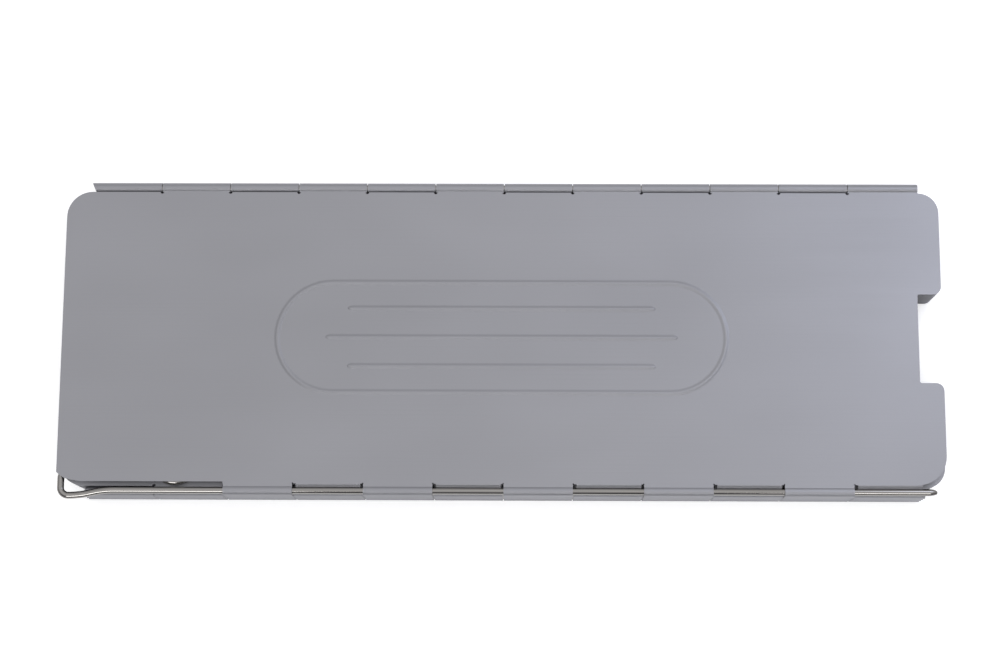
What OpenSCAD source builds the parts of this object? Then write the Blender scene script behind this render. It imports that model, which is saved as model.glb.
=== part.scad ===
// Folding stove windscreen, shown folded flat.
// Nine sheet plates are joined edge to edge by eight wire-pinned knuckle hinges.
// A bent wire stake slides in the rolled free edge of each end plate.
// X runs along the plates, +X is the foot end, Z is up, the folded pack rests on Z = 0.
// Side A is the -Y edge, side B is the +Y edge. All sizes are in millimetres.

/* [Plates] */
// Length of every plate along X
plate_len = 240; // [180:1:320]
// Distance between the two hinge axes of one plate
hinge_pitch = 84; // [64:0.5:120]
// Sheet thickness
sheet_t = 0.4; // [0.3:0.05:0.6]
// Radius of the foot-end corners beside a hinge
foot_round = 5.6; // [2:0.1:6]
// Radius of the foot-end corner beside a free edge
free_round = 8; // [2:0.1:8]
// Radius of the head-end corners
head_round = 7; // [3:0.1:7.2]
// Length along X of the shallow corner cut that clears a stake handle
grip_cut_x = 6.4; // [4:0.1:7.2]
// Depth along Y of that corner cut
grip_cut_y = 2.4; // [1.5:0.1:4]
// How far that corner cut bulges out from its straight line, as a share of the way to the corner
cut_bulge = 0.34; // [0.1:0.02:0.6]
// How much further back a free edge lies beside its stake's handle
handle_back = 0.45; // [0.2:0.05:0.5]

/* [Hinges] */
// Diameter of the wire that makes the hinge pins and the stakes
wire_d = 1.9; // [1.4:0.1:2.4]
// Radial clearance of a wire in a rolled knuckle
wire_clear = 0.05; // [0.02:0.01:0.1]
// Interference of the pinched end knuckle on its pin, on the radius
pinch_bite = 0.01; // [0:0.005:0.02]
// Length of the pinched stretch
pinch_len = 4; // [2:0.5:8]
// Clear gap between two knuckles stacked one above the other
stack_gap = 0.2; // [0.1:0.05:0.6]
// Gap along X between neighbouring knuckles
knuckle_gap = 0.25; // [0.2:0.05:1]
// Bare plate length before the first knuckle, at the head end
head_margin = 7.2; // [4:0.1:14]
// Bare plate length after the last knuckle, at the foot end
foot_margin = 6; // [4:0.1:14]
// Gap between a plate edge and the neighbour's knuckle it is cut back for, square to the axis
edge_gap = 0.45; // [0.35:0.05:2]
// Radius of the relief hole in each cut-back corner
relief_r = 0.55; // [0.2:0.05:0.8]
// Width of the open seam where a rolled knuckle comes back to its plate
seam_gap = 0.2; // [0.1:0.05:0.3]
// Slant of the first knuckle's end, measured along X
end_slant = 1.2; // [0:0.1:2]
// Length of each pin left inside the end knuckles
pin_inset = 1.6; // [0.5:0.1:4]

/* [Vent notch] */
// Width of the notch in the foot end
vent_w = 24.5; // [14:0.5:40]
// Depth of the notch
vent_d = 6.5; // [4:0.1:12]
// Outer corner radius of the two feet beside the notch
vent_round = 2.2; // [0.5:0.1:3]
// Inner corner radius of the notch
vent_fillet = 0.5; // [0.3:0.1:2]

/* [Stakes] */
// Space between the plate end and the outside of the handle bend
grip_inset = 0.1; // [0.1:0.1:3]
// Distance from the straight leg's line to the returned leg
grip_back = 5.4; // [4.4:0.1:8]
// How far the front stake's handle stands outside its straight leg's line
grip_out = 1.4; // [0:0.1:2]
// Bend radius of the handle's two corners, at the middle of the wire
grip_bend = 2.1; // [1.6:0.05:2.15]
// Gap between the returned leg and the underside of the plate over it
grip_clear = 0.15; // [0.1:0.01:0.3]
// Length of the joggle between the straight leg and the handle
joggle_len = 12.6; // [8:0.1:14]
// Distance from the plate end to the middle of the spring bump
bump_at = 31.8; // [29:0.1:60]
// Gap between the spring bump and the knuckles it passes
bump_clear = 0.1; // [0.05:0.01:0.5]
// Bend radius of the spring bump
bump_bend = 6.5; // [4:0.1:12]
// Straight tail after the spring bump
tail_len = 3; // [1:0.1:8]
// Length of the pointed tip
tip_len = 2; // [1:0.1:8]
// Flat left on the pointed tip
tip_flat_d = 0.9; // [0.2:0.1:1]
// Distance from the stake tip to the foot end of the plate
tip_inset = 2.7; // [1:0.1:8]

/* [Emboss] */
// Height of the raised pattern on the first plate
emboss_h = 0.25; // [0.1:0.05:0.5]
// Width of a raised line
line_w = 1.6; // [0.8:0.1:3]
// Length of the raised border
border_len = 124; // [110:1:150]
// Width of the raised border, also twice its end radius
border_w = 32; // [28:0.5:44]
// Length of the middle raised rib
rib_len = 96; // [50:1:100]
// Length of the two outer raised ribs
side_rib_len = 84; // [40:1:90]
// Distance from one raised rib to the next
rib_step = 8; // [5:0.1:9]

/* [Hidden] */
$fn = 48;

wire_r = wire_d / 2;
bore_r = wire_r + wire_clear;
knuckle_r = bore_r + sheet_t;
edge_setback = knuckle_r + edge_gap;
plate_step = knuckle_r + stack_gap / 2;
roll_off = plate_step / 2;
lean = asin(plate_step / hinge_pitch);
flat_pitch = hinge_pitch * cos(lean);
pack_h = 8 * plate_step * cos(lean) + 2 * knuckle_r;
slots = 12;
head_x = -plate_len / 2;
foot_x = plate_len / 2;
run_x = head_x + head_margin;
slot_len = (plate_len - head_margin - foot_margin) / slots;
odd_slots = [1, 3, 5, 7, 9, 11];
even_slots = [2, 4, 6, 8, 10, 12];
front_slots = [3, 5, 7, 9, 11];
rear_slots = [4, 6, 8, 10, 12];

// How far the bent handle reaches into the straight leg.
leg_lap = 0.4;
// The returned leg drops below the straight one, to pass under the plate.
grip_drop = wire_r + grip_clear + sheet_t / 2 - roll_off;
bump_y = sqrt(pow(knuckle_r + wire_r + bump_clear, 2) - pow(grip_drop, 2));
bump_rise = grip_back - bump_y;
bump_a = acos(1 - bump_rise / 2 / bump_bend);
bump_half = bump_bend * sin(bump_a);
bump_x = head_x + bump_at;
// Where the handle's outer corner ends and where the straight leg starts.
bend_x = head_x + grip_inset + wire_r + grip_bend;
straight_x = bend_x + joggle_len;
tip_x = foot_x - tip_inset;

aluminium = [0.62, 0.62, 0.65];
steel = [0.78, 0.77, 0.74];

// Place a shape of the folded stack, whose middle is the origin, on the ground.
module on_ground() {
  translate([0, 0, pack_h / 2]) rotate([lean, 0, 0]) children();
}

// Place a shape made about hinge axis k, 0 and 9 being the free edges of the end plates.
module on_axis(k) {
  side = k % 2 == 1 ? 1 : -1;
  translate([0, side * flat_pitch / 2, (4.5 - k) * plate_step]) children();
}

module x_rod(r, x0, x1) {
  translate([x0, 0, 0]) rotate([0, 90, 0]) cylinder(r = r, h = x1 - x0);
}

// Flat blank of one plate. The corner at the head end of a free edge gets the shallow cut.
module blank(pitch, slots_a, slots_b, free_side) {
  half = pitch / 2 - edge_setback;
  difference() {
    translate([head_x, -half]) square([plate_len, 2 * half]);
    for (s = [-1, 1]) {
      corner_cut(foot_x, s * half, s == free_side ? free_round : foot_round, -1, -s);
      if (s == free_side) handle_cut(s * half, s, s < 0 ? slots_a[0] : slots_b[0]);
      else corner_cut(head_x, s * half, head_round, 1, -s);
      corner_cut(foot_x, s * vent_w / 2, vent_round, -1, s);
      first = s < 0 ? slots_a[0] : slots_b[0];
      for (k = [max(1, first - 1):slots - 1])
        translate([run_x + k * slot_len, s * half]) circle(r = relief_r);
    }
    difference() {
      translate([foot_x - vent_d, -vent_w / 2]) square([vent_d + 1, vent_w]);
      for (s = [-1, 1]) corner_cut(foot_x - vent_d, s * vent_w / 2, vent_fillet, 1, -s);
    }
  }
  for (k = slots_a) tongue(k, -pitch / 2, -half);
  for (k = slots_b) tongue(k, half, pitch / 2);
}

// The corner left over between a square corner at (x, y) and its inscribed arc.
module corner_cut(x, y, r, dx, dy) {
  translate([x, y]) scale([dx, dy]) difference() {
    translate([-0.01, -0.01]) square([r + 0.01, r + 0.01]);
    translate([r, r]) circle(r = r);
  }
}

// What a free edge loses beside the stake's handle, from the head end to its first knuckle.
module handle_cut(y, side, first) {
  translate([head_x - 1, side > 0 ? y - handle_back : y - 1])
    square([run_x + (first - 1) * slot_len - head_x + 1, handle_back + 1]);
  slant_cut(head_x, y - side * handle_back, grip_cut_x, grip_cut_y, 1, -side);
}

// A corner trimmed by two straight cuts that meet at a blunt point.
module slant_cut(x, y, wide, deep, dx, dy) {
  near = (1 - cut_bulge) / 2;
  translate([x, y]) scale([dx, dy])
    polygon([[-1, -1], [wide, -1], [wide, 0], [near * wide, near * deep], [0, deep], [-1, deep]]);
}

// The strip of sheet that runs from the plate into one knuckle.
module tongue(k, y0, y1) {
  translate([run_x + (k - 1) * slot_len + knuckle_gap / 2, y0 - 0.01])
    square([slot_len - knuckle_gap, y1 - y0 + 0.02]);
}

// The rolled knuckles of one edge about the X axis.
module rolls(list) {
  for (k = list) {
    x0 = run_x + (k - 1) * slot_len + knuckle_gap / 2;
    x_rod(knuckle_r, x0, x0 + slot_len - knuckle_gap);
  }
}

// What is cut out of the rolled knuckles: bore, open seam and the slant of the first end.
// inward points from the axis to the plate, up to the side the plate is on.
module roll_cuts(inward, up, pinched) {
  end_x = foot_x - foot_margin;
  x_rod(bore_r, run_x - 1, end_x - pinch_len);
  x_rod(pinched ? wire_r - pinch_bite : bore_r, end_x - pinch_len - 1, end_x + 1);
  translate([run_x - 1, 0, 0]) rotate([inward * up * 12, 0, 0])
    translate([0, inward > 0 ? 0 : -knuckle_r - 0.3, -seam_gap / 2])
      cube([end_x - run_x + 2, knuckle_r + 0.3, seam_gap]);
  translate([0, 0, -knuckle_r - 0.1]) linear_extrude(2 * knuckle_r + 0.2)
    polygon([[run_x - 1, -inward * (knuckle_r + 0.1)], [run_x - 0.01, -inward * (knuckle_r + 0.1)],
      [run_x + end_slant, inward * (knuckle_r + 0.1)], [run_x - 1, inward * (knuckle_r + 0.1)]]);
}

// One plate about its own middle. z_a and z_b put each edge's knuckles above (1) or below (-1) it.
module plate(pitch, z_a, z_b, slots_a, slots_b, free_side, pinch_a, pinch_b) {
  difference() {
    union() {
      translate([0, 0, -sheet_t / 2]) linear_extrude(sheet_t)
        blank(pitch, slots_a, slots_b, free_side);
      translate([0, -pitch / 2, z_a * roll_off]) rolls(slots_a);
      translate([0, pitch / 2, z_b * roll_off]) rolls(slots_b);
    }
    translate([0, -pitch / 2, z_a * roll_off]) roll_cuts(1, -z_a, pinch_a);
    translate([0, pitch / 2, z_b * roll_off]) roll_cuts(-1, -z_b, pinch_b);
  }
}

// Plates between the two end plates. Every second one is turned over.
module inner_plate(i) {
  odd = i % 2 == 1;
  color(aluminium) on_ground() translate([0, 0, (5 - i) * plate_step])
    plate(flat_pitch, odd ? 1 : -1, odd ? -1 : 1, odd ? odd_slots : even_slots,
      odd ? even_slots : odd_slots, 0, !odd, odd);
}

// A round-ended bar about its middle, given by its overall length and its width.
module bar(len, wide) {
  translate([-(len - wide) / 2, -wide / 2]) square([len - wide, wide]);
  for (s = [-1, 1]) translate([s * (len - wide) / 2, 0]) circle(d = wide);
}

// Plain pattern: a round-ended border line with three ribs inside it.
module pattern() {
  difference() {
    bar(border_len, border_w);
    bar(border_len - 2 * line_w, border_w - 2 * line_w);
  }
  for (j = [-1, 0, 1]) translate([0, j * rib_step]) bar(j == 0 ? rib_len : side_rib_len, line_w);
}

module plate_1() {
  color(aluminium) on_ground() translate([0, 0, 4 * plate_step]) rotate([-lean, 0, 0])
    translate([0, 0, roll_off]) {
      plate(hinge_pitch, -1, -1, front_slots, even_slots, -1, false, true);
      translate([0, 0, sheet_t / 2 - 0.1]) linear_extrude(emboss_h + 0.1) pattern();
    }
}

module plate_2() { inner_plate(2); }
module plate_3() { inner_plate(3); }
module plate_4() { inner_plate(4); }
module plate_5() { inner_plate(5); }
module plate_6() { inner_plate(6); }
module plate_7() { inner_plate(7); }
module plate_8() { inner_plate(8); }

module plate_9() {
  color(aluminium) on_ground() translate([0, 0, -4 * plate_step]) rotate([-lean, 0, 0])
    translate([0, 0, -roll_off])
      plate(hinge_pitch, 1, 1, odd_slots, rear_slots, 1, false, false);
}

// Pin of hinge k, gripped by the last knuckle of plate k.
module hinge_pin(k) {
  color(steel) on_ground() on_axis(k)
    x_rod(wire_r, run_x + pin_inset, foot_x - foot_margin - pin_inset);
}

module hinge_pin_1() { hinge_pin(1); }
module hinge_pin_2() { hinge_pin(2); }
module hinge_pin_3() { hinge_pin(3); }
module hinge_pin_4() { hinge_pin(4); }
module hinge_pin_5() { hinge_pin(5); }
module hinge_pin_6() { hinge_pin(6); }
module hinge_pin_7() { hinge_pin(7); }
module hinge_pin_8() { hinge_pin(8); }

// Middle line of the bent handle: joggle, two corners, spring bump and tail.
// out is how far the handle stands outside the line of the straight leg.
function handle_path(out) =
  let (off = norm([out, grip_drop]))
  let (r = (pow(joggle_len / 2, 2) + pow(off / 2, 2)) / off)
  let (swing = asin(joggle_len / 2 / r))
  concat(
    [[straight_x + leg_lap, 0, 0]],
    [for (j = [0:4]) let (a = swing * j / 4) let (s = r * (1 - cos(a)) / off)
      [straight_x - r * sin(a), -out * s, -grip_drop * s]],
    [for (j = [3:-1:0]) let (a = swing * j / 4) let (s = 1 - r * (1 - cos(a)) / off)
      [bend_x + r * sin(a), -out * s, -grip_drop * s]],
    [for (j = [1:6]) let (a = 15 * j)
      [bend_x - grip_bend * sin(a), grip_bend * (1 - cos(a)) - out, -grip_drop]],
    [for (j = [6:12]) let (a = 15 * j)
      [bend_x - grip_bend * sin(a), grip_back - grip_bend * (1 + cos(a)), -grip_drop]],
    [for (j = [0:4]) let (a = bump_a * j / 4)
      [bump_x - 2 * bump_half + bump_bend * sin(a), grip_back - bump_bend * (1 - cos(a)), -grip_drop]],
    [for (j = [-3:4]) let (a = bump_a * j / 4)
      [bump_x + bump_bend * sin(a), bump_y + bump_bend * (1 - cos(a)), -grip_drop]],
    [for (j = [3:-1:0]) let (a = bump_a * j / 4)
      [bump_x + 2 * bump_half - bump_bend * sin(a), grip_back - bump_bend * (1 - cos(a)), -grip_drop]],
    [[bump_x + 2 * bump_half + tail_len, grip_back, -grip_drop]]);

function unit(v) = v / norm(v);

// One ring of the wire about point i of the path. The first two lie inside the straight leg.
function ring_points(path, i, sides) =
  let (last = len(path) - 1)
  let (t = unit(path[min(i + 1, last)] - path[max(i - 1, 0)]))
  let (n = unit(cross([0, 0, 1], t)))
  let (b = cross(t, n))
  let (r = wire_r * (i == 0 ? 0.94 : i == 1 ? 0.985 : 1))
  [for (k = [0:sides - 1]) path[i] + r * (cos(360 * k / sides) * n + sin(360 * k / sides) * b)];

// Wire along a path, closed at both ends.
module bent_wire(path, sides) {
  rings = len(path);
  points = [for (i = [0:rings - 1]) each ring_points(path, i, sides)];
  walls = [for (i = [0:rings - 2]) for (k = [0:sides - 1]) let (m = (k + 1) % sides)
    each [[i * sides + k, (i + 1) * sides + k, (i + 1) * sides + m],
      [i * sides + k, (i + 1) * sides + m, i * sides + m]]];
  start = [for (k = [0:sides - 1]) k];
  end = [for (k = [sides - 1:-1:0]) (rings - 1) * sides + k];
  polyhedron(points = points, faces = concat(walls, [start, end]));
}

// Stake about the free-edge axis of a plate that lies above it and reaches to +Y.
module stake(out) {
  x_rod(wire_r, straight_x, tip_x - tip_len);
  translate([tip_x - tip_len, 0, 0]) rotate([0, 90, 0])
    cylinder(r1 = wire_r, r2 = tip_flat_d / 2, h = tip_len);
  bent_wire(handle_path(out), 16);
}

module stake_front() {
  color(steel) on_ground() on_axis(0) rotate([-lean, 0, 0]) stake(grip_out);
}

// The handle of the rear stake lies in line with its leg, under the plates.
module stake_rear() {
  color(steel) on_ground() on_axis(9) rotate([180 - lean, 0, 0]) stake(0);
}

plate_1();
plate_2();
plate_3();
plate_4();
plate_5();
plate_6();
plate_7();
plate_8();
plate_9();
hinge_pin_1();
hinge_pin_2();
hinge_pin_3();
hinge_pin_4();
hinge_pin_5();
hinge_pin_6();
hinge_pin_7();
hinge_pin_8();
stake_front();
stake_rear();
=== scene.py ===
# Looks of a folding stove windscreen, folded flat on a white table.
# Nine pressed aluminium plates with rolled edges, eight hinge pins and two bent wire stakes.
# Sizes are in millimetres up to the point where a mesh is made.
import math

import bmesh
import bpy
from mathutils import Matrix, Vector


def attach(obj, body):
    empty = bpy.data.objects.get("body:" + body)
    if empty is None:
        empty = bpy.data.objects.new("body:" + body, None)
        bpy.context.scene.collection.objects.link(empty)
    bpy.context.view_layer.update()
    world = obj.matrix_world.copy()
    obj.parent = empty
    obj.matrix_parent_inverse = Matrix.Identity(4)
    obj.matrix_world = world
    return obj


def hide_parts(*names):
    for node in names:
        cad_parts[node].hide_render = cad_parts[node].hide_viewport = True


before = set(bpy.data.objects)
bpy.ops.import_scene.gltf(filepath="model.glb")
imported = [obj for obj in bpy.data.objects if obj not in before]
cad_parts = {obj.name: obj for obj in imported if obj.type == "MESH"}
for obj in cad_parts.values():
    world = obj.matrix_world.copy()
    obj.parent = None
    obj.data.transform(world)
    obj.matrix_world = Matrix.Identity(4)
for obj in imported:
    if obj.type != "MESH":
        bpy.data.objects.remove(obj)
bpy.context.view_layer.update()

# The plates and their hinges, with the sizes of the solid model.
# The head end of a plate is at -X, its foot end with the notch at +X.
PLATE_LEN = 240.0
HINGE_PITCH = 84.0
SHEET = 0.4
WIRE_R = 0.95
KNUCKLE_R = 1.4
PLATE_STEP = 1.5
ROLL_OFF = PLATE_STEP / 2
LEAN = math.asin(PLATE_STEP / HINGE_PITCH)
FLAT_PITCH = HINGE_PITCH * math.cos(LEAN)
PACK_H = 8 * PLATE_STEP * math.cos(LEAN) + 2 * KNUCKLE_R
HEAD_X = -PLATE_LEN / 2
FOOT_X = PLATE_LEN / 2
HEAD_MARGIN = 7.2
FOOT_MARGIN = 6.0
RUN_X = HEAD_X + HEAD_MARGIN
SLOTS = 12
SLOT_LEN = (PLATE_LEN - HEAD_MARGIN - FOOT_MARGIN) / SLOTS
KNUCKLE_GAP = 0.25
END_SLANT = 1.2
FOOT_ROUND = 5.6
FREE_ROUND = 8.0
HEAD_ROUND = 7.0
GRIP_CUT = (6.4, 2.4)
CUT_BULGE = 0.34
VENT_W = 24.5
VENT_D = 6.5
VENT_ROUND = 2.2
VENT_FILLET = 0.5
# The slots that hold a plate's own knuckles. The end plates' free edges start further down.
ODD_SLOTS = (1, 3, 5, 7, 9, 11)
EVEN_SLOTS = (2, 4, 6, 8, 10, 12)
FRONT_SLOTS = (3, 5, 7, 9, 11)
REAR_SLOTS = (4, 6, 8, 10, 12)

# How far the flat part of a plate ends before the axis of a free edge and of a hinged one.
FREE_SETBACK = KNUCKLE_R + 0.45
HINGE_SETBACK = KNUCKLE_R - 0.08
# A free edge lies this much further back where the handle of its stake runs under it.
HANDLE_BACK = 0.45
# Radius of the small relief holes at the slot ends of a hinged and of a free edge.
HINGE_RELIEF = 0.5
FREE_RELIEF = 0.25
# The outermost knuckles reach a little past the row of slots.
ROW_REACH = 0.55
# Room left beside the lip in a window of a free edge.
LIP_GAP = 0.5

# The pressed pattern: a border line's length and width, and each rib's place and length.
BORDER = (122.4, 30.4)
RIBS = ((-8, 84), (0, 96), (8, 84))
RIB_END = 1.6
BEAD_W = 1.9
BEAD_H = 0.26
BEAD_SINK = 0.004

# The stakes, with the sizes of the solid model.
GRIP_OUT = 1.4
GRIP_BACK = 5.4
GRIP_BEND = 2.1
GRIP_INSET = 0.1
GRIP_CLEAR = 0.15
JOGGLE_LEN = 12.6
BUMP_AT = 31.8
BUMP_BEND = 6.5
BUMP_CLEAR = 0.1
TAIL_LEN = 3.0
TIP_INSET = 2.7
# The rounded point and the blunt tail of a stake, as distance from its end and radius there.
TIP = ((0.0, 0.3), (0.08, 0.46), (0.3, 0.6), (0.9, 0.79), (1.6, 0.91), (2.1, WIRE_R))
TAIL = ((0.25, WIRE_R), (0.06, 0.86), (0.0, 0.68))

# Edges that turn more than this stay crisp.
CRISP = math.radians(32)


def linear(code):
    """An sRGB hex colour as linear RGBA."""
    parts = [int(code[i:i + 2], 16) / 255 for i in (1, 3, 5)]
    curve = [c / 12.92 if c <= 0.04045 else ((c + 0.055) / 1.055) ** 2.4 for c in parts]
    return (*curve, 1.0)


def feed(tree, node, sockets):
    """Gives a node's sockets their values, or links them to other nodes' outputs."""
    for socket, value in sockets.items():
        if isinstance(value, bpy.types.NodeSocket):
            tree.links.new(value, node.inputs[socket])
        else:
            node.inputs[socket].default_value = value


def add_node(tree, kind, sockets=None, **settings):
    """Adds a node with its settings and feeds its sockets."""
    node = tree.nodes.new(kind)
    for name, value in settings.items():
        setattr(node, name, value)
    feed(tree, node, sockets or {})
    return node


def new_material(name):
    """A material with its node tree and its shader."""
    material = bpy.data.materials.new(name)
    material.use_nodes = True
    return material, material.node_tree, material.node_tree.nodes["Principled BSDF"]


def turned(point, angle):
    """A (y, z) point turned about the X axis."""
    y, z = point
    c, s = math.cos(angle), math.sin(angle)
    return (y * c - z * s, y * s + z * c)


def axis_at(k):
    """Place (y, z) of hinge axis k, where 0 and 9 are the free edges of the end plates."""
    side = 1 if k % 2 else -1
    y, z = turned((side * FLAT_PITCH / 2, (4.5 - k) * PLATE_STEP), LEAN)
    return (y, z + PACK_H / 2)


def arc(cx, cy, r, start, end, steps):
    """Points on an arc, angles in degrees."""
    turn = [math.radians(start + (end - start) * i / steps) for i in range(steps + 1)]
    return [(cx + r * math.cos(a), cy + r * math.sin(a)) for a in turn]


def make_piece(name, points, faces, body, node, material):
    """A smooth-shaded mesh in metres that rides on a body and stands for a solid."""
    mesh = bpy.data.meshes.new(name)
    mesh.from_pydata([Vector(p) * 0.001 for p in points], [], faces)
    mesh.validate()
    shells = bmesh.new()
    shells.from_mesh(mesh)
    bmesh.ops.recalc_face_normals(shells, faces=shells.faces)
    shells.to_mesh(mesh)
    shells.free()
    mesh.shade_smooth()
    mesh.set_sharp_from_angle(angle=CRISP)
    mesh.materials.append(material)
    piece = bpy.data.objects.new(name, mesh)
    bpy.context.collection.objects.link(piece)
    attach(piece, body)
    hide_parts(node)


def grip_corner(y):
    """The head corner of a free edge, trimmed by two straight cuts with a softened point between."""
    head, edge = Vector((0, GRIP_CUT[1])), Vector((GRIP_CUT[0], 0))
    blunt = (head + edge) * (1 - CUT_BULGE) / 2
    soft, softest = 0.75, 0.9
    middle = head.lerp(blunt, softest).lerp(edge.lerp(blunt, softest), 0.5)
    line = [head, head.lerp(blunt, soft), middle, edge.lerp(blunt, soft), edge]
    return [(HEAD_X + p.x, y - p.y) for p in line]


def edge_line(pitch, free, first_slot):
    """One long edge of a plate's flat part, from its head corner to its foot corner.

    Each point is a place along X and a distance from the plate's middle line. first_slot is where
    the knuckles of a free edge begin.
    """
    half = pitch / 2 - (FREE_SETBACK if free else HINGE_SETBACK)
    relief = FREE_RELIEF if free else HINGE_RELIEF
    foot_round = FREE_ROUND if free else FOOT_ROUND
    if free:
        step_x = RUN_X + (first_slot - 1) * SLOT_LEN
        line = grip_corner(half - HANDLE_BACK)
        line += [(step_x, half - HANDLE_BACK), (step_x, half)]
    else:
        line = arc(HEAD_X + HEAD_ROUND, half - HEAD_ROUND, HEAD_ROUND, 180, 90, steps=10)
    for k in range(first_slot if free else 1, SLOTS):
        line += arc(RUN_X + k * SLOT_LEN, half, relief, 180, 360, steps=8)
    line += arc(FOOT_X - foot_round, half - foot_round, foot_round, 90, 0, steps=10)
    return line


def plate_outline(pitch, free_side):
    """Outline of the flat part of a plate, anticlockwise from the head end of side A, which is -Y."""
    v = VENT_W / 2
    notch = arc(FOOT_X - VENT_ROUND, v + VENT_ROUND, VENT_ROUND, 360, 270, steps=6)
    notch += arc(FOOT_X - VENT_D + VENT_FILLET, v - VENT_FILLET, VENT_FILLET, 90, 180, steps=4)
    side_a = edge_line(pitch, free_side == -1, FRONT_SLOTS[0]) + notch
    side_b = edge_line(pitch, free_side == 1, REAR_SLOTS[0]) + notch
    return [(x, -y) for x, y in side_a] + list(reversed(side_b))


def roll_profile(setback):
    """Section of a rolled edge as (outward, height) pairs for its two skins.

    The sheet runs out flat, lifts in a tight reverse bend, then rolls over and round the wire
    until it nearly meets its own underside. The roll's middle is ROLL_OFF below the sheet.
    """
    mid_r = KNUCKLE_R - SHEET / 2
    bend_r = 0.3
    roll_end = -190
    bend_x = setback - math.sqrt((mid_r + bend_r) ** 2 - (bend_r + ROLL_OFF) ** 2)
    lift = math.degrees(math.atan2(bend_r + ROLL_OFF, bend_x - setback))
    skins = []
    for side in (SHEET / 2, -SHEET / 2):
        skin = [(0.0, side)]
        skin += arc(bend_x, bend_r, bend_r - side, 270, 180 + lift, steps=5)
        skin += arc(setback, -ROLL_OFF, mid_r + side, lift, roll_end, steps=40)[1:]
        skins.append(skin)
    return skins


def lip_profile():
    """Section of the short lip that is left where a knuckle was cut away, as roll_profile's pairs."""
    bend_r = 0.3
    tilt = 38
    flat = 0.75
    reach = (flat * math.cos(math.radians(tilt)), -flat * math.sin(math.radians(tilt)))
    skins = []
    for side in (SHEET / 2, -SHEET / 2):
        skin = arc(0, -bend_r, bend_r + side, 90, 90 - tilt, steps=5)
        skin.append((skin[-1][0] + reach[0], skin[-1][1] + reach[1]))
        skins.append(skin)
    return skins


def add_strip(points, faces, half, skins, start, end, side, up):
    """Adds a bent strip of sheet to a plate's edge, half from its middle, between two places along it.

    start gives the first place for each reach outward. up is -1 where the strip bends down.
    """
    base = len(points)
    count = len(skins[0])
    for first in (True, False):
        for skin in skins:
            for out, height in skin:
                points.append((start(out) if first else end, side * (half + out), -up * height))
    u0, l0, u1, l1 = (base + i * count for i in range(4))
    for i in range(count - 1):
        faces.append((u0 + i, u0 + i + 1, u1 + i + 1, u1 + i))
        faces.append((l0 + i, l1 + i, l1 + i + 1, l0 + i + 1))
        faces.append((u0 + i, l0 + i, l0 + i + 1, u0 + i + 1))
        faces.append((u1 + i, u1 + i + 1, l1 + i + 1, l1 + i))
    last = count - 1
    faces.append((u0 + last, l0 + last, l1 + last, u1 + last))
    faces.append((u0, u1, l1, l0))


def add_edge(points, faces, pitch, slots, side, up, free):
    """Adds the rolled knuckles of one edge and, on a free edge, the lips between them."""
    setback = FREE_SETBACK if free else HINGE_SETBACK
    half = pitch / 2 - setback
    roll = roll_profile(setback)
    lip = lip_profile()
    for slot in slots:
        x0 = RUN_X + (slot - 1) * SLOT_LEN + KNUCKLE_GAP / 2
        x1 = x0 + SLOT_LEN - KNUCKLE_GAP + (ROW_REACH if slot == SLOTS else 0)

        def start(out):
            slant = END_SLANT * (setback + KNUCKLE_R - out) / (2 * KNUCKLE_R)
            return RUN_X - ROW_REACH + slant if slot == 1 else x0
        add_strip(points, faces, half, roll, start, x1, side, up)
        if free and slot < SLOTS:
            lip_x = x1 + 2 * LIP_GAP
            lip_end = x1 + SLOT_LEN - LIP_GAP
            add_strip(points, faces, half, lip, lambda out: lip_x, lip_end, side, up)


def add_bead(points, faces, path, closed):
    """Adds a pressed bead with a rounded crest along a flat path. Each path point has its own size."""
    across = [i / 5 for i in range(-5, 6)]
    row = len(across)
    base = len(points)
    n = len(path)
    for i, (x, y, grow) in enumerate(path):
        before = path[(i - 1) % n] if closed else path[max(i - 1, 0)]
        after = path[(i + 1) % n] if closed else path[min(i + 1, n - 1)]
        tangent = Vector((after[0] - before[0], after[1] - before[1])).normalized()
        for u in across:
            off = u * BEAD_W / 2 * grow
            crest = BEAD_H * grow * math.cos(math.pi * u / 2) ** 2
            points.append((x - tangent.y * off, y + tangent.x * off, SHEET / 2 + crest - BEAD_SINK))
    for i in range(n if closed else n - 1):
        here, there = base + i * row, base + (i + 1) % n * row
        for k in range(row):
            m = (k + 1) % row
            faces.append((here + k, there + k, there + m, here + m))
    if not closed:
        faces.append(tuple(range(base, base + row)))
        faces.append(tuple(range(base + (n - 1) * row, base + n * row)))


def stadium(length, width):
    """A closed path with straight sides and round ends, each point at full size."""
    r = width / 2
    c = length / 2 - r
    line = arc(c, 0, r, -90, 90, steps=24) + arc(-c, 0, r, 90, 270, steps=24)
    return [(x, y, 1.0) for x, y in line]


def rib_path(length, y):
    """A straight rib whose ends round off to almost nothing."""
    steps = [0.01, 0.15, 0.35, 0.6, 0.8, 0.95, 1.0]
    ramp = [(s * RIB_END, math.sqrt(1 - (1 - s) ** 2)) for s in steps]
    left = [(-length / 2 + d, y, g) for d, g in ramp]
    right = [(length / 2 - d, y, g) for d, g in reversed(ramp)]
    return left + right


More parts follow.
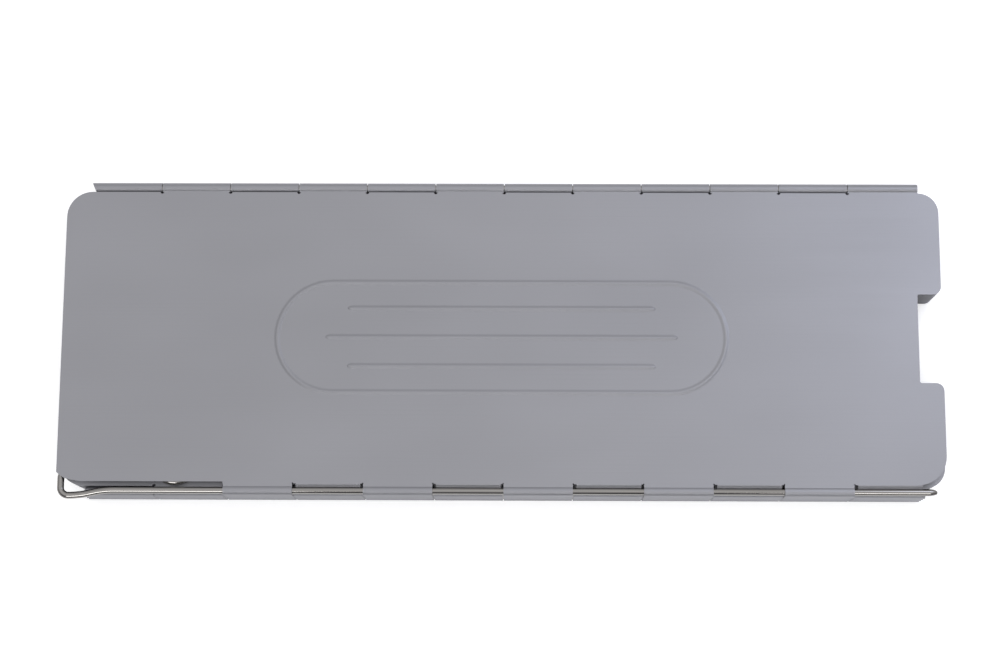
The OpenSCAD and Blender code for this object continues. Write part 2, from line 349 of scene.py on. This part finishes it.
def plate(number, material):
    """Builds one plate in its place in the folded pack."""
    # Whether the knuckles of edges A and B stand up (1) or down (-1), their slots, and the free side.
    ends = {1: (-1, -1, FRONT_SLOTS, EVEN_SLOTS, -1), 9: (1, 1, ODD_SLOTS, REAR_SLOTS, 1)}
    odd = number % 2 == 1
    inner = (1, -1, ODD_SLOTS, EVEN_SLOTS, 0) if odd else (-1, 1, EVEN_SLOTS, ODD_SLOTS, 0)
    up_a, up_b, slots_a, slots_b, free_side = ends.get(number, inner)
    pitch = HINGE_PITCH if number in ends else FLAT_PITCH
    outline = plate_outline(pitch, free_side)
    n = len(outline)
    points = [(x, y, SHEET / 2) for x, y in outline] + [(x, y, -SHEET / 2) for x, y in outline]
    faces = [tuple(range(n)), tuple(reversed(range(n, 2 * n)))]
    faces += [(i, n + i, n + (i + 1) % n, (i + 1) % n) for i in range(n)]
    add_edge(points, faces, pitch, slots_a, -1, up_a, free_side == -1)
    add_edge(points, faces, pitch, slots_b, 1, up_b, free_side == 1)
    if number == 1:
        add_bead(points, faces, stadium(*BORDER), True)
        for y, length in RIBS:
            add_bead(points, faces, rib_path(length, y), False)
    # The end plates lie level, the others lean with the stack.
    if number in ends:
        rise = 1 if number == 1 else -1
        shift_y, shift_z = turned((0, rise * 4 * PLATE_STEP), LEAN)
        placed = [(x, y + shift_y, z + rise * ROLL_OFF + shift_z + PACK_H / 2) for x, y, z in points]
    else:
        placed = []
        for x, y, z in points:
            lean_y, lean_z = turned((y, z + (5 - number) * PLATE_STEP), LEAN)
            placed.append((x, lean_y, lean_z + PACK_H / 2))
    make_piece(f"plate_{number}_sheet", placed, faces, f"leaf_{number}",
               f"plate_{number}", material)


def stake_path(grip_out):
    """Middle line of a stake from its tip to the tail of its handle, as (x, y, z, radius).

    The handle stands grip_out outside the line of the straight leg.
    """
    drop = WIRE_R + GRIP_CLEAR + SHEET / 2 - ROLL_OFF
    bend_x = HEAD_X + GRIP_INSET + WIRE_R + GRIP_BEND
    straight_x = bend_x + JOGGLE_LEN
    tip_x = FOOT_X - TIP_INSET
    leg = [(tip_x - d, 0, 0, r) for d, r in TIP]
    leg += [(x, 0, 0, WIRE_R) for x in (tip_x - 30, 0, straight_x + 20)]

    # The joggle is two equal arcs in the plane that takes the leg outward and down.
    offset = math.hypot(grip_out, drop)
    joggle_r = ((JOGGLE_LEN / 2) ** 2 + (offset / 2) ** 2) / offset
    joggle_a = math.degrees(math.asin(JOGGLE_LEN / 2 / joggle_r))
    swing = arc(straight_x, -joggle_r, joggle_r, 90, 90 + joggle_a, steps=8)
    swing += arc(bend_x, joggle_r - offset, joggle_r, 270 + joggle_a, 270, steps=8)[1:]
    leg += [(x, grip_out * w / offset, drop * w / offset, WIRE_R) for x, w in swing]

    # The handle's two corners and the spring bump, which clears the knuckles it slides past.
    bump_y = math.sqrt((KNUCKLE_R + WIRE_R + BUMP_CLEAR) ** 2 - drop ** 2)
    bump_a = math.degrees(math.acos(1 - (GRIP_BACK - bump_y) / 2 / BUMP_BEND))
    bump_half = BUMP_BEND * math.sin(math.radians(bump_a))
    bump_x = HEAD_X + BUMP_AT
    foot_y = GRIP_BACK - BUMP_BEND
    grip = arc(bend_x, GRIP_BEND - grip_out, GRIP_BEND, 270, 180, steps=12)[1:]
    grip += arc(bend_x, GRIP_BACK - GRIP_BEND, GRIP_BEND, 180, 90, steps=12)
    grip += arc(bump_x - 2 * bump_half, foot_y, BUMP_BEND, 90, 90 - bump_a, steps=8)
    grip += arc(bump_x, bump_y + BUMP_BEND, BUMP_BEND, 270 - bump_a, 270 + bump_a, steps=14)[1:]
    grip += arc(bump_x + 2 * bump_half, foot_y, BUMP_BEND, 90 + bump_a, 90, steps=8)[1:]
    tail_x = grip[-1][0] + TAIL_LEN
    line = leg + [(x, y, -drop, WIRE_R) for x, y in grip]
    return line + [(tail_x - d, GRIP_BACK, -drop, r) for d, r in TAIL]


def stake(name, axis, flip, grip_out, body, node, material):
    """Sweeps round wire along the stake's middle line about a free-edge axis."""
    line = stake_path(grip_out)
    sides = 24
    centre = [Vector((x, y, z)) for x, y, z, _ in line]
    points, faces = [], []
    for i, c in enumerate(centre):
        tangent = (centre[min(i + 1, len(line) - 1)] - centre[max(i - 1, 0)]).normalized()
        across = Vector((0, 0, 1)).cross(tangent).normalized()
        upward = tangent.cross(across)
        for k in range(sides):
            a = 2 * math.pi * k / sides
            p = c + line[i][3] * (math.cos(a) * across + math.sin(a) * upward)
            points.append((p.x, axis[0] + flip * p.y, axis[1] + flip * p.z))
    for i in range(len(line) - 1):
        for k in range(sides):
            m = (k + 1) % sides
            faces.append((i * sides + k, i * sides + m, (i + 1) * sides + m, (i + 1) * sides + k))
    faces.append(tuple(reversed(range(sides))))
    faces.append(tuple((len(line) - 1) * sides + k for k in range(sides)))
    make_piece(name, points, faces, body, node, material)


def rolled_aluminium():
    """Bare aluminium sheet, rolled and then clear anodised.

    It gives a soft cool grey sheen with a faint grain along the rolling direction, and slow dull and
    bright patches where the sheet isn't quite flat, bumped and with painted reflection in the colour.
    """
    material, tree, shader = new_material("clear_anodised_aluminium")
    place = add_node(tree, "ShaderNodeTexCoord")
    # Rolling grain: lines 0.35 mm apart and some 60 mm long, drawn coarser than the real 0.05 mm.
    grain_map = add_node(tree, "ShaderNodeMapping", {"Vector": place.outputs["Object"],
                                                     "Scale": (1 / 0.060, 1 / 0.00035, 1 / 0.00035)})
    grain = add_node(tree, "ShaderNodeTexNoise", {"Vector": grain_map.outputs["Vector"], "Scale": 1.0,
                                                  "Detail": 3.0, "Roughness": 0.6})
    # Slow patches, about 70 mm long and 35 mm wide, for the broad bump and for painted reflection.
    patch_map = add_node(tree, "ShaderNodeMapping", {"Vector": place.outputs["Object"],
                                                     "Scale": (1 / 0.070, 1 / 0.035, 1 / 0.035)})
    patch = add_node(tree, "ShaderNodeTexNoise", {"Vector": patch_map.outputs["Vector"], "Scale": 1.0,
                                                  "Detail": 2.0, "Roughness": 0.5})
    total = add_node(tree, "ShaderNodeMath", {0: grain.outputs["Fac"], 1: patch.outputs["Fac"]},
                     operation="ADD")
    mean = add_node(tree, "ShaderNodeMath", {0: total.outputs["Value"], 1: 0.5}, operation="MULTIPLY")
    # Colour: the real grain's tone, plus painted reflection from the slow patches, duller and brighter.
    colour = add_node(tree, "ShaderNodeValToRGB", {"Fac": mean.outputs["Value"]})
    dull, bright = colour.color_ramp.elements
    dull.position = 0.3
    dull.color = linear("#949498")
    bright.position = 0.75
    bright.color = linear("#a1a1a6")
    rough = add_node(tree, "ShaderNodeMapRange", {"Value": grain.outputs["Fac"], "From Min": 0.25,
                                                  "From Max": 0.75, "To Min": 0.46, "To Max": 0.58})
    fine = add_node(tree, "ShaderNodeBump", {"Height": grain.outputs["Fac"], "Strength": 0.12,
                                             "Distance": 0.00003})
    broad = add_node(tree, "ShaderNodeBump", {"Height": patch.outputs["Fac"], "Strength": 0.6,
                                              "Distance": 0.0004, "Normal": fine.outputs["Normal"]})
    feed(tree, shader, {"Metallic": 1.0, "Base Color": colour.outputs["Color"],
                        "Roughness": rough.outputs["Result"], "Normal": broad.outputs["Normal"]})
    return material


def drawn_steel():
    """Nickel-plated steel wire, drawn through a die.

    It gives sharp bright and dark bands along the wire, slightly warm, with fine die lines.
    """
    material, tree, shader = new_material("nickel_plated_steel_wire")
    place = add_node(tree, "ShaderNodeTexCoord")
    # Die lines: 0.2 mm apart round the wire and about 25 mm long.
    line_map = add_node(tree, "ShaderNodeMapping", {"Vector": place.outputs["Object"],
                                                    "Scale": (1 / 0.025, 1 / 0.0002, 1 / 0.0002)})
    lines = add_node(tree, "ShaderNodeTexNoise", {"Vector": line_map.outputs["Vector"], "Scale": 1.0,
                                                  "Detail": 2.0})
    colour = add_node(tree, "ShaderNodeValToRGB", {"Fac": lines.outputs["Fac"]})
    dark, pale = colour.color_ramp.elements
    dark.color = linear("#7b7977")
    pale.color = linear("#9a9794")
    rough = add_node(tree, "ShaderNodeMapRange", {"Value": lines.outputs["Fac"], "From Min": 0.3,
                                                  "From Max": 0.7, "To Min": 0.05, "To Max": 0.11})
    feed(tree, shader, {"Metallic": 1.0, "Base Color": colour.outputs["Color"],
                        "Roughness": rough.outputs["Result"]})
    return material


def white_table():
    """Matt white card. What the camera and reflections see of it is lifted to white, shadows stay."""
    material, tree, shader = new_material("matt_white_card")
    path = add_node(tree, "ShaderNodeLightPath")
    seen = add_node(tree, "ShaderNodeMath", {0: path.outputs["Is Camera Ray"],
                                             1: path.outputs["Is Glossy Ray"]}, operation="ADD")
    either = add_node(tree, "ShaderNodeMath", {0: seen.outputs["Value"],
                                               1: path.outputs["Is Transmission Ray"]}, operation="ADD")
    lift = add_node(tree, "ShaderNodeMath", {0: either.outputs["Value"], 1: 0.45}, operation="MULTIPLY")
    feed(tree, shader, {"Base Color": linear("#f4f4f4"), "Roughness": 0.9,
                        "Emission Color": linear("#ffffff"), "Emission Strength": lift.outputs["Value"]})
    return material


def table():
    """A flat white table, wide enough to fill the view from low angles too. It is sized in metres."""
    half = 60.0
    corners = [(-half, -half, 0), (half, -half, 0), (half, half, 0), (-half, half, 0)]
    mesh = bpy.data.meshes.new("table")
    mesh.from_pydata(corners, [], [(0, 1, 2, 3)])
    mesh.materials.append(white_table())
    top = bpy.data.objects.new("table", mesh)
    bpy.context.collection.objects.link(top)


def soft_box(name, place, aim, size, power, colour):
    """A square studio light at a place, aimed at a point, all in metres."""
    data = bpy.data.lights.new(name, "AREA")
    data.size = size
    data.energy = power
    data.color = linear(colour)[:3]
    lamp = bpy.data.objects.new(name, data)
    lamp.location = place
    lamp.rotation_euler = (Vector(aim) - Vector(place)).to_track_quat("-Z", "Y").to_euler()
    bpy.context.collection.objects.link(lamp)


def studio():
    """A pale room, dim only low in front, with soft light overhead, two front lamps and a cool fill."""
    world = bpy.data.worlds.new("pale_room")
    world.use_nodes = True
    tree = world.node_tree
    place = add_node(tree, "ShaderNodeTexCoord")
    back_and_up = (0, 0.707, 0.707)
    tilt = add_node(tree, "ShaderNodeVectorMath", {0: place.outputs["Generated"], 1: back_and_up},
                    operation="DOT_PRODUCT")
    level = add_node(tree, "ShaderNodeMapRange", {"Value": tilt.outputs["Value"], "From Min": -0.5,
                                                  "From Max": 0.5, "To Min": 0.05, "To Max": 0.8})
    feed(tree, tree.nodes["Background"], {"Color": linear("#f4f4f6"),
                                          "Strength": level.outputs["Result"]})
    bpy.context.scene.world = world
    soft_box("overhead", (-0.05, 0.1, 1.4), (0, 0, 0), 1.8, 4.4, "#ffffff")
    soft_box("front_left", (-0.36, -0.95, 0.95), (0, 0, 0), 0.32, 2.2, "#ffffff")
    soft_box("front_right", (0.4, -0.95, 0.95), (0, 0, 0), 0.32, 1.8, "#ffffff")
    soft_box("right_fill", (0.22, 0.1, 0.24), (0.12, 0.01, 0), 0.14, 0.15, "#e0e8ff")


def camera():
    """Camera fitted to the photograph: a long lens, a little in front of straight above."""
    focal_px = 2150
    frame_px = 1000
    place = (0.00535, -0.10933, 0.58983)
    rise, swing, roll = (math.radians(a) for a in (79.176, -2.997, -2.791))
    data = bpy.data.cameras.new("camera")
    data.sensor_width = 36
    data.lens = data.sensor_width * focal_px / frame_px
    look = Vector((math.cos(rise) * math.sin(swing), math.cos(rise) * math.cos(swing), -math.sin(rise)))
    level_right = Vector((math.cos(swing), -math.sin(swing), 0))
    level_top = level_right.cross(look)
    right = level_right * math.cos(roll) + level_top * math.sin(roll)
    top = level_top * math.cos(roll) - level_right * math.sin(roll)
    turn = Matrix((right, top, -look)).transposed()
    eye = bpy.data.objects.new("camera", data)
    eye.matrix_world = Matrix.Translation(place) @ turn.to_4x4()
    bpy.context.collection.objects.link(eye)
    bpy.context.scene.camera = eye


aluminium = rolled_aluminium()
steel = drawn_steel()
for i in range(1, 10):
    plate(i, aluminium)
stake("front_stake_wire", axis_at(0), 1, GRIP_OUT, "front_stake", "stake_front", steel)
# The rear stake's handle lies in line with its leg.
stake("rear_stake_wire", axis_at(9), -1, 0.0, "rear_stake", "stake_rear", steel)
for i in range(1, 9):
    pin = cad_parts[f"hinge_pin_{i}"]
    pin.data.materials.clear()
    pin.data.materials.append(steel)
table()
studio()
camera()
bpy.context.scene.view_settings.view_transform = "Standard"
